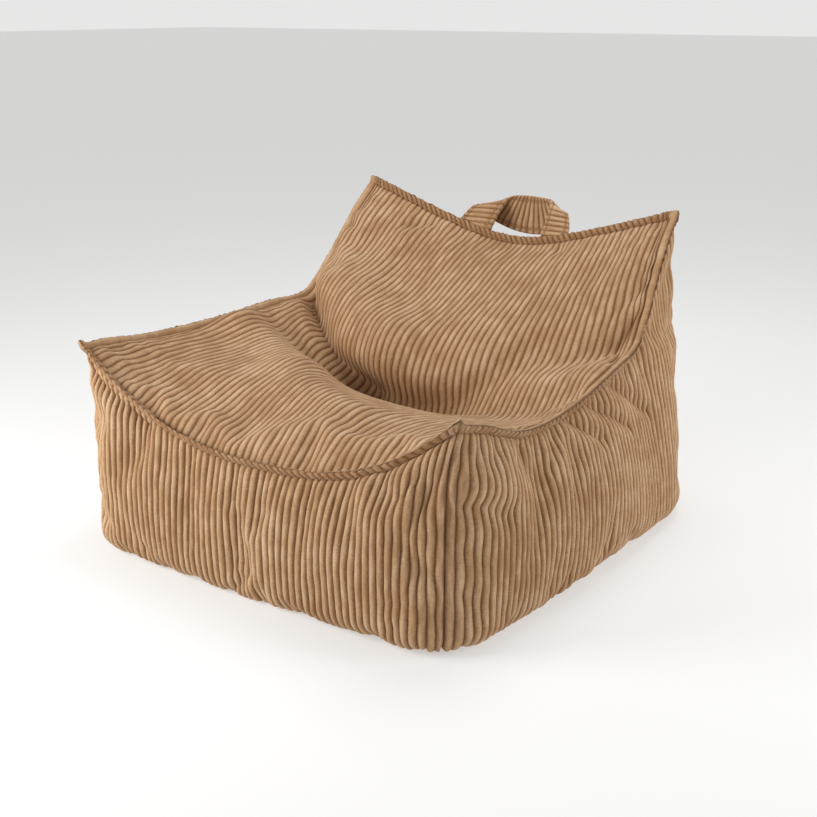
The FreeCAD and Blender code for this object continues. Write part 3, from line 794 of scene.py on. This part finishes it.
corduroy = corduroyMaterial()
frontPanel = finePanel("front", fineRows["front"], flanged=("high",))
seatPanel = finePanel("seat", fineRows["seat"], flanged=("low", "high", "first", "last"))
rightPanel = finePanel("right", fineRows["side"], flanged=("high",))
leftPanel = finePanel("left", fineRows["side"], flanged=("high",))
upperBack = finePanel("back", fineRows["back"], flanged=("high",), part="upper")
lowerBack = finePanel("back", fineRows["strip"], part="lower")
basePanel = finePanel("base", fineRows["base"])


def finish(piece, body, nodes=()):
    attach(piece, body)
    if nodes:
        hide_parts(*nodes)


for name, panel, node in (("seatAndBackrest", seatPanel, "seat_back_panel"),
                          ("frontPanel", frontPanel, "front_panel"),
                          ("rightSide", rightPanel, "side_panel_right"),
                          ("leftSide", leftPanel, "side_panel_left"),
                          ("upperBack", upperBack, "back_panel"),
                          ("lowerBack", lowerBack, "back_lower_strip")):
    finish(makePanel(name, panel, corduroy), "cover", [node])


# plain shells and small repeated shapes
def meshObject(name, points, faces, material):
    mesh = bpy.data.meshes.new(name)
    mesh.from_pydata(np.asarray(points).tolist(), [], faces)
    mesh.polygons.foreach_set("use_smooth", [True] * len(mesh.polygons))
    mesh.materials.append(material)
    piece = bpy.data.objects.new(name, mesh)
    scene.collection.objects.link(piece)
    return piece


def outwards(piece):
    work = bmesh.new()
    work.from_mesh(piece.data)
    bmesh.ops.remove_doubles(work, verts=work.verts, dist=1e-6)
    bmesh.ops.recalc_face_normals(work, faces=work.faces)
    work.to_mesh(piece.data)
    work.free()


def thicken(piece, thickness):
    # a wall of that thickness inside an open sheet, with its rim closed
    bpy.ops.object.select_all(action="DESELECT")
    bpy.context.view_layer.objects.active = piece
    piece.select_set(True)
    wall = piece.modifiers.new("wall", "SOLIDIFY")
    wall.thickness, wall.offset = thickness, -1
    bpy.ops.object.modifier_apply(modifier="wall")
    piece.select_set(False)


def clothMaterial(name, colour, second, pitch, roughness=0.85, depth=0.0004):
    # a plain over and under weave in the piece's own coordinates
    shader = Shader(name, Roughness=roughness, Specular_IOR_Level=0.2)
    place = shader.add("ShaderNodeTexCoord").outputs["Object"]
    threads = []
    for axis in ((1, 0, 0), (0, 1, 0), (0, 0, 1)):
        dot = shader.add("ShaderNodeVectorMath", {"operation": "DOT_PRODUCT"}, {0: place, 1: axis})
        turn = shader.value(dot.outputs["Value"]) * (2 * math.pi / pitch)
        threads.append(turn.math("SINE", turn, 0.0))
    weave = threads[0] * threads[1] + threads[1] * threads[2] + threads[2] * threads[0]
    cloudy = shader.noise(place, 25.0, 3.0)
    colour = shader.blendColours(weave * 0.25 + cloudy * 0.6 + 0.1, colour, second)
    shader.feed("Base Color", colour)
    shader.bump(weave * 0.5 + shader.noise(place, 1400.0) * 0.4, 0.6, depth)
    return shader.material


def stitches(name, path, ways, length, radius, gap, material):
    # one small rounded stitch after another along a path; ways are the cloth's outward directions
    path, ways = np.asarray(path), np.asarray(ways)
    walk = np.concatenate([[0], np.cumsum(np.linalg.norm(np.diff(path, axis=0), axis=1))])
    starts = np.arange(gap, walk[-1] - length, length + gap)
    rings, sides = [(0.0, 0.35), (0.15, 1.0), (0.5, 1.15), (0.85, 1.0), (1.0, 0.35)], 6
    points, faces = [], []
    for start in starts:
        ends = [np.array([np.interp(start + t * length, walk, path[:, k]) for k in range(3)]) for t in (0, 1)]
        up = unit(np.array([np.interp(start + length / 2, walk, ways[:, k]) for k in range(3)]))
        along = unit(ends[1] - ends[0])
        across = unit(np.cross(along, up))
        first = len(points)
        for t, size in rings:
            arch = up * (radius * 0.9 * math.sin(math.pi * t) - radius * 0.35)
            centre = mix(ends[0], ends[1], t) + arch
            for k in range(sides):
                turn = 2 * math.pi * k / sides
                points.append(centre + radius * size * (across * math.cos(turn) + up * math.sin(turn)))
        for ring in range(len(rings) - 1):
            for k in range(sides):
                a, b = first + ring * sides + k, first + ring * sides + (k + 1) % sides
                faces.append([a, b, b + sides, a + sides])
        faces.append([first + k for k in range(sides)][::-1])
        faces.append([first + (len(rings) - 1) * sides + k for k in range(sides)])
    piece = meshObject(name, points, faces, material)
    outwards(piece)
    return piece


baseCloth = clothMaterial("baseCloth", (0.045, 0.036, 0.030, 1), (0.085, 0.066, 0.052, 1), 0.0016)
linerCloth = clothMaterial("linerCloth", (0.72, 0.70, 0.66, 1), (0.84, 0.83, 0.80, 1), 0.0010)
tapeCloth = clothMaterial("zipTape", (0.22, 0.125, 0.060, 1), (0.32, 0.19, 0.095, 1), 0.0009)
threadLook = clothMaterial("sewingThread", (0.42, 0.235, 0.11, 1), (0.56, 0.34, 0.17, 1), 0.0007, 0.6, 0.0002)
labelCloth = clothMaterial("labelTape", (0.80, 0.78, 0.73, 1), (0.90, 0.88, 0.84, 1), 0.0008, 0.6)

# the base: a plain dark cloth, a flat sheet of its own thickness
base = {"steps": 60, "lift": 0.0004, "thickness": 0.002}
picked = [np.linspace(0, size - 1, base["steps"]).astype(int) for size in basePanel["grid"].shape[:2]]
baseGrid = basePanel["grid"][np.ix_(*picked)].copy()
baseIds = np.arange(base["steps"] ** 2).reshape(base["steps"], base["steps"])
baseGrid[..., 2] = base["lift"] * (2 + waves(baseGrid[..., 0], baseGrid[..., 1], 0.05))
baseSheet = meshObject("baseCloth", baseGrid.reshape(-1, 3), gridQuads(baseIds)[:, ::-1].tolist(), baseCloth)
thicken(baseSheet, base["thickness"])
outwards(baseSheet)
finish(baseSheet, "cover", ["base_panel"])


# what is inside: the liner's two pieces and the beads
inside = {
    "linerGap": 0.012, "beadGap": 0.017, "easing": 5, "split": 0.120, "behindZip": 0.366,
    "creaseWidth": 0.065, "underCrease": 0.034, "pucker": 0.0015, "linerCloth": 0.0008,
}


def belowSplit(point):
    return point.z < inside["split"]


def aboveSplit(point):
    return point.z >= inside["split"]


def insideBag(name, gap, material, keep=None):
    # the settled cover, eased at its corners and drawn in by the gap, and further under the seat's crease
    points, faces = bag
    wide = {"width": inside["creaseWidth"], "height": inside["underCrease"]}
    under = foldHeight(points, seatShape, [{**line, **wide} for line in folds["seat"][:2]])
    mesh = bpy.data.meshes.new(name)
    mesh.from_pydata(points.tolist(), [], faces)
    work = bmesh.new()
    work.from_mesh(mesh)
    for _ in range(inside["easing"]):
        bmesh.ops.smooth_vert(work, verts=work.verts, factor=0.5,
                              use_axis_x=True, use_axis_y=True, use_axis_z=True)
    work.normal_update()
    for vert in work.verts:
        pucker = inside["pucker"] * math.sin(vert.co.x * 95 + vert.co.y * 60) ** 2
        vert.co = vert.co - vert.normal * (gap + under[vert.index] + pucker)
        vert.co.z = max(vert.co.z, gap * 0.5)
        vert.co.y = min(vert.co.y, inside["behindZip"] + max(0.0, vert.co.z - 0.10) * 1.5)
    if keep:
        spare = [face for face in work.faces if not keep(face.calc_center_median())]
        bmesh.ops.delete(work, geom=spare, context="FACES")
    bmesh.ops.subdivide_edges(work, edges=work.edges, cuts=1, use_grid_fill=True, smooth=0.4)
    work.to_mesh(mesh)
    work.free()
    mesh.polygons.foreach_set("use_smooth", [True] * len(mesh.polygons))
    mesh.materials.append(material)
    piece = bpy.data.objects.new(name, mesh)
    scene.collection.objects.link(piece)
    return piece


beadLook = Shader("foamBeads", Roughness=0.65, Specular_IOR_Level=0.3)
beadPlace = beadLook.add("ShaderNodeTexCoord").outputs["Object"]
cells = beadLook.add("ShaderNodeTexVoronoi", {"feature": "F1"}, {"Vector": beadPlace, "Scale": 260.0})
beadDistance = beadLook.value(cells.outputs["Distance"])
# each bead is pale in its middle and grey towards its edge: painted shade between the beads
beadColour = beadLook.blendColours(beadDistance * 0.9, (0.90, 0.90, 0.88, 1), (0.55, 0.55, 0.53, 1))
beadLook.feed("Base Color", beadColour)
beadLook.bump(1 - beadDistance, 0.9, 0.0015)

for name, node, keep in (("linerTray", "liner_tray", belowSplit), ("linerTop", "liner_top", aboveSplit)):
    piece = insideBag(name, inside["linerGap"], linerCloth, keep)
    thicken(piece, inside["linerCloth"])
    finish(piece, "cover", [node])
beads = insideBag("beadFill", inside["beadGap"], beadLook.material)
outwards(beads)
finish(beads, "cover", ["bead_fill"])
print("liner and beads made")


# the carry handle, one strap folded over at both sides
# each stop: how far along, the strap's inner edge, its outer edge
handle = {
    "stops": [(0.00, (-0.052, 0.3105, 0.4285, -0.126, 0.3105, 0.4335)),
              (0.13, (-0.050, 0.327, 0.450, -0.118, 0.328, 0.449)),
              (0.27, (-0.046, 0.349, 0.474, -0.103, 0.347, 0.462)),
              (0.36, (-0.038, 0.361, 0.485, -0.082, 0.355, 0.443)),
              (0.43, (-0.020, 0.367, 0.487, -0.042, 0.358, 0.427)),
              (0.50, (0.000, 0.369, 0.487, 0.000, 0.359, 0.421)),
              (0.57, (0.020, 0.368, 0.486, 0.042, 0.358, 0.426)),
              (0.64, (0.038, 0.362, 0.485, 0.070, 0.355, 0.443)),
              (0.73, (0.046, 0.349, 0.476, 0.082, 0.349, 0.462)),
              (0.87, (0.050, 0.327, 0.450, 0.097, 0.328, 0.448)),
              (1.00, (0.052, 0.3105, 0.4285, 0.102, 0.3105, 0.4305))],
    "thickness": 0.0050, "rib": 0.0022, "across": 22, "edgeRound": 0.0024, "stitchIn": 0.006, "width": 0.046,
}


def strapFrame(t):
    edges = cubicLine(handle["stops"], t)
    first, second = edges[..., :3], edges[..., 3:]
    middle = (first + second) / 2
    along = unit(np.gradient(middle, axis=0))
    across = unit(second - first)
    return first, second, unit(np.cross(along, across))


def strapPoint(first, second, face, share, side, rise):
    # share runs across the strap, side is 1 on its outer face and -1 on its inner face
    width = np.linalg.norm(second - first, axis=-1, keepdims=True)
    edge = np.minimum(share, 1 - share) * width
    half = handle["thickness"] / 2 + rise
    lip = np.sqrt(np.clip(1 - (1 - np.clip(edge / handle["edgeRound"], 0, 1)) ** 2, 0, 1))
    return mix(first, second, share) + face * (side * half * lip)


def makeHandle():
    t = np.linspace(0, 1, 1601)
    first, second, face = strapFrame(t)
    run = np.concatenate([[0], np.cumsum(np.linalg.norm(np.diff((first + second) / 2, axis=0), axis=1))])
    ribs = round(run[-1] / wale["pitch"] * 1.25)
    steps = np.linspace(0, run[-1], ribs * 8 + 1)
    t = np.interp(steps, run, t)
    first, second, face = strapFrame(t)
    phase = steps / run[-1] * ribs
    shares = np.concatenate([[0, 0.012, 0.03], np.linspace(0.06, 0.94, handle["across"]), [0.97, 0.988, 1]])
    loop = [(share, 1) for share in shares] + [(share, -1) for share in shares[::-1][1:-1]]
    points, crests, uvs = [], [], []
    for share, side in loop:
        press = np.exp(-((min(share, 1 - share) * handle["width"] - handle["stitchIn"]) / 0.0022) ** 2)
        rise = ridge(phase + 0.06 * math.sin(share * 9)) * handle["rib"] * (1 - 0.65 * press) - 0.0006 * press
        points.append(strapPoint(first, second, face, share, side, rise[:, None]))
        # a lower crest along the stitch lines paints shade there
        crests.append(ridge(phase) * (1 - 0.5 * press))
        uvs.append(np.stack([phase, np.full_like(phase, share * 3.6)], -1))
    points, crests, uvs = (np.stack(part, 1) for part in (points, crests, uvs))
    n, m = crests.shape
    ids = np.arange(n * m).reshape(n, m)
    around = np.roll(ids, -1, axis=1)
    faces = np.stack([ids[:-1], ids[1:], around[1:], around[:-1]], -1).reshape(-1, 4).tolist()
    faces += [ids[0].tolist(), ids[-1][::-1].tolist()]
    piece = meshObject("carryHandle", points.reshape(-1, 3), faces, corduroy)
    layer = piece.data.attributes.new("crest", "FLOAT", "POINT")
    layer.data.foreach_set("value", crests.reshape(-1).astype(np.float32))
    uvMap = piece.data.uv_layers.new(name="cloth")
    corner = np.empty(len(piece.data.loops), int)
    piece.data.loops.foreach_get("vertex_index", corner)
    uvMap.data.foreach_set("uv", uvs.reshape(-1, 2)[corner].astype(np.float32).reshape(-1))
    outwards(piece)
    return piece


handlePiece = makeHandle()
finish(handlePiece, "handle", ["carry_handle"])


def handleStitching():
    t = np.linspace(0.03, 0.97, 400)
    first, second, face = strapFrame(t)
    rows = []
    for share in (0.13, 0.87):
        for side in (1, -1):
            path = strapPoint(first, second, face, share, side, 0.0016)
            rows.append(stitches("row", path, face * side, 0.0032, 0.00045, 0.0011, threadLook))
    return rows


def joined(name, pieces):
    bpy.ops.object.select_all(action="DESELECT")
    for piece in pieces:
        piece.select_set(True)
    bpy.context.view_layer.objects.active = pieces[0]
    bpy.ops.object.join()
    pieces[0].name = pieces[0].data.name = name
    pieces[0].select_set(False)
    return pieces[0]


finish(joined("handleStitching", handleStitching()), "handle", ["handle_topstitch"])


def bartack(t, share):
    # a close zigzag over the strap, just above where the top seam holds it
    at = np.array([t, t + 0.001])
    first, second, face = strapFrame(at)
    along = unit(np.diff((first + second) / 2, axis=0))[0]
    rows = []
    for side in (1, -1):
        spots = np.linspace(share - 0.16, share + 0.16, 26)
        path = [strapPoint(first[:1], second[:1], face[:1], s, side, 0.0018)[0] + along * (0.0016 * (-1) ** k)
                for k, s in enumerate(spots)]
        dense = np.concatenate([np.linspace(a, b, 5)[:-1] for a, b in zip(path[:-1], path[1:])])
        ways = np.tile(face[0] * side, (len(dense), 1))
        rows.append(stitches("tack", dense, ways, 0.0034, 0.0004, 0.00015, threadLook))
    return rows


tacks = [row for t in (0.045, 0.955) for share in (0.22, 0.78) for row in bartack(t, share)]
finish(joined("handleBartacks", tacks), "handle", ["handle_bartacks"])
print("handle made")


# topstitching along the flanges
def flangeStitches(name, panel):
    # a line of stitches part of the way up the flange on one panel's side of it
    grid, normals = panel["grid"], panel["normals"]
    j = grid.shape[1] - 1
    path, ways = [], []
    for i in range(6, grid.shape[0] - 6):
        out = flangeOut(panel, i, j)
        away = unit(out)
        flat = unit(normals[i, j] - (normals[i, j] @ away) * away)
        rise = seam["ply"] * 1.1 + panel["crest"][i, j] * 1.7 * wale["height"] * 0.62
        path.append(grid[i, j] + out * 0.0042 + flat * rise)
        ways.append(flat)
    return stitches(name, path, ways, 0.0036, 0.00055, 0.0014, threadLook)


for name, panel, node in (("frontTopstitch", frontPanel, "topstitch_front"),
                          ("upperTopstitch", seatPanel, "topstitch_top"),
                          ("leftTopstitch", leftPanel, "topstitch_left"),
                          ("rightTopstitch", rightPanel, "topstitch_right")):
    finish(flangeStitches(name, panel), "cover", [node])
print("topstitching made")


# zip: moulded coil teeth, stops, slider and pull
zipAcross = np.array([0.0, zipLine["lean"], 1.0])
zipAcross = zipAcross / np.linalg.norm(zipAcross)
zipOut = np.array([0.0, zipAcross[2], -zipAcross[1]])
teeth = {
    "pitch": 0.0017, "radius": 0.00055, "reach": 0.0024, "sides": 6, "lift": 0.0008,
    # how far along the tooth, its size there, how far it stands out
    "profile": [(0, 0.5, 0.2), (0.12, 1.35, 0.45), (0.3, 1.0, 0.5), (0.8, 0.9, 0.5), (1.0, 0.5, 0.1)],
}


def coilTeeth(name, node, side, material):
    low, high = (np.array(corner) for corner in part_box(node))
    middle = (low + high) / 2
    points, faces, sides = [], [], teeth["sides"]
    count = int((high[0] - low[0]) / teeth["pitch"])
    for k in range(count):
        x = low[0] + (k + 0.5 + 0.5 * (side < 0)) * teeth["pitch"]
        inner = middle - zipAcross * side * teeth["reach"] * 0.62
        outer = middle + zipAcross * side * teeth["reach"] * 0.48
        first = len(points)
        for t, size, rise in teeth["profile"]:
            centre = mix(inner, outer, t) * [0, 1, 1] + np.array([x, 0, 0]) + zipOut * rise * teeth["lift"]
            for turn in np.arange(sides) * 2 * math.pi / sides:
                ring = np.array([math.cos(turn), 0, 0]) + zipOut * math.sin(turn) * 1.25
                points.append(centre + teeth["radius"] * size * ring)
        starts = [first + ring * sides for ring in range(len(teeth["profile"]))]
        rings = [[start + spot for spot in range(sides)] for start in starts]
        for ring, after in zip(rings[:-1], rings[1:]):
            for spot in range(sides):
                beside = (spot + 1) % sides
                faces.append([ring[spot], ring[beside], after[beside], after[spot]])
        faces += [rings[0], rings[-1][::-1]]
    piece = meshObject(name, points, faces, material)
    outwards(piece)
    return piece


coilShader = Shader("zipCoil", Roughness=0.38, Specular_IOR_Level=0.5)
coilPlace = coilShader.add("ShaderNodeTexCoord").outputs["Object"]
coilTone = coilShader.noise(coilPlace, 300.0)
coilColour = coilShader.blendColours(coilTone, (0.20, 0.115, 0.055, 1), (0.30, 0.18, 0.09, 1))
coilShader.feed("Base Color", coilColour)
metalShader = Shader("zipMetal", Metallic=1.0, Specular_IOR_Level=0.5)
metalPlace = metalShader.add("ShaderNodeTexCoord").outputs["Object"]
shadeAndWear = metalShader.noise(metalPlace, 420.0, 4.0, 0.6)
metalShader.feed("Base Color", metalShader.blendColours(shadeAndWear, (0.34, 0.29, 0.22, 1), (0.52, 0.46, 0.36, 1)))
metalShader.feed("Roughness", shadeAndWear * 0.35 + 0.22)
metalShader.bump(metalShader.noise(metalPlace, 1500.0), 0.25, 0.0001)
for name, node, side in (("upperCoil", "zip_coil_upper", 1), ("lowerCoil", "zip_coil_lower", -1)):
    finish(coilTeeth(name, node, side, coilShader.material), "cover", [node])
zipPieces = {
    "zip_tape_upper": tapeCloth, "zip_tape_lower": tapeCloth,
    "zip_stop_open": metalShader.material, "zip_stop_closed": metalShader.material,
    "zip_slider": metalShader.material, "zip_pull": metalShader.material,
}
for node, material in zipPieces.items():
    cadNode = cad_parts[node]
    for materialSlot in cadNode.material_slots:
        materialSlot.material = material
    if not cadNode.material_slots:
        cadNode.data.materials.append(material)
print("zip made")


# the blank label sewn in the left rear seam
label = {
    "root": -0.004, "reach": 0.022, "curl": 0.0035, "wave": 0.0009, "thickness": 0.0004,
    "rows": 15, "columns": 21,
}


def makeLabel():
    low, high = (np.array(corner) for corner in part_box("care_label"))
    seamLine = leftPanel["grid"][-1]
    heights = np.linspace(low[2], high[2], label["rows"])
    root = np.stack([np.interp(heights, seamLine[:, 2], seamLine[:, k]) for k in range(3)], -1)
    away = unit(np.array([-1.0, 1.0, 0.0]))
    sideways = np.array([away[1], -away[0], 0.0])
    reach = np.linspace(label["root"], label["reach"], label["columns"])
    share = reach / label["reach"]
    curl = label["curl"] * np.clip(share, 0, 1) ** 2
    wave = label["wave"] * np.sin(np.linspace(0, 5, label["rows"]))
    aside = curl[None, :] + wave[:, None] * share[None, :]
    grid = root[:, None] + away * reach[None, :, None] + sideways * aside[..., None]
    ids = np.arange(label["rows"] * label["columns"]).reshape(label["rows"], label["columns"])
    piece = meshObject("careLabel", grid.reshape(-1, 3), gridQuads(ids).tolist(), labelCloth)
    thicken(piece, label["thickness"])
    outwards(piece)
    return piece


finish(makeLabel(), "cover", ["care_label"])
print("label made")


# camera, floor and light
cameraSet = {
    "place": (1.183, -1.632, 0.818), "azimuth": 36.07, "elevation": 17.42,
    "focal": 57.283, "sensor": 36,
}
azimuth, elevation = math.radians(cameraSet["azimuth"]), math.radians(cameraSet["elevation"])
level = math.cos(elevation)
viewWay = Vector((-math.sin(azimuth) * level, math.cos(azimuth) * level, -math.sin(elevation)))
camera = bpy.data.objects.new("camera", bpy.data.cameras.new("camera"))
camera.location = cameraSet["place"]
camera.rotation_euler = viewWay.to_track_quat("-Z", "Y").to_euler()
camera.data.lens = cameraSet["focal"]
camera.data.sensor_width = cameraSet["sensor"]
scene.collection.objects.link(camera)
scene.camera = camera

bpy.ops.mesh.primitive_plane_add(size=60, location=(0, 0, -0.0008))
floor = bpy.context.object
floor.name = "paleFloor"
floorShader = Shader("paleFloor", Roughness=0.8, Base_Color=(0.50, 0.50, 0.495, 1), Specular_IOR_Level=0.1,
                     Emission_Color=(1, 1, 0.995, 1), Emission_Strength=0.46)
floor.data.materials.append(floorShader.material)

world = bpy.data.worlds.new("studio")
world.use_nodes = True
skyLight = world.node_tree.nodes["Background"]
skyLight.inputs["Color"].default_value = (1, 1, 0.995, 1)
skyWay = world.node_tree.nodes.new("ShaderNodeTexCoord")
skyHeight = world.node_tree.nodes.new("ShaderNodeSeparateXYZ")
skyFade = world.node_tree.nodes.new("ShaderNodeMapRange")
for key, value in {"From Min": 0.0, "From Max": 0.45, "To Min": 0.80, "To Max": 0.34}.items():
    skyFade.inputs[key].default_value = value
world.node_tree.links.new(skyWay.outputs["Generated"], skyHeight.inputs[0])
world.node_tree.links.new(skyHeight.outputs["Z"], skyFade.inputs["Value"])
world.node_tree.links.new(skyFade.outputs[0], skyLight.inputs["Strength"])
scene.world = world


def softLight(name, place, target, size, power, tint=(1, 1, 1)):
    light = bpy.data.lights.new(name, "AREA")
    light.size, light.energy, light.color = size, power, tint
    lamp = bpy.data.objects.new(name, light)
    lamp.location = place
    lamp.visible_camera = False
    lamp.rotation_euler = (Vector(target) - Vector(place)).to_track_quat("-Z", "Y").to_euler()
    scene.collection.objects.link(lamp)


softLight("keyLight", (-0.95, -1.35, 0.85), (0, 0, 0.25), 0.9, 24, (1, 0.99, 0.975))
softLight("sideLight", (1.6, 0.5, 0.85), (0, 0, 0.25), 0.9, 10)
softLight("topLight", (0.1, 0.6, 2.3), (0, 0, 0.25), 1.2, 20)
scene.view_settings.view_transform = "Standard"
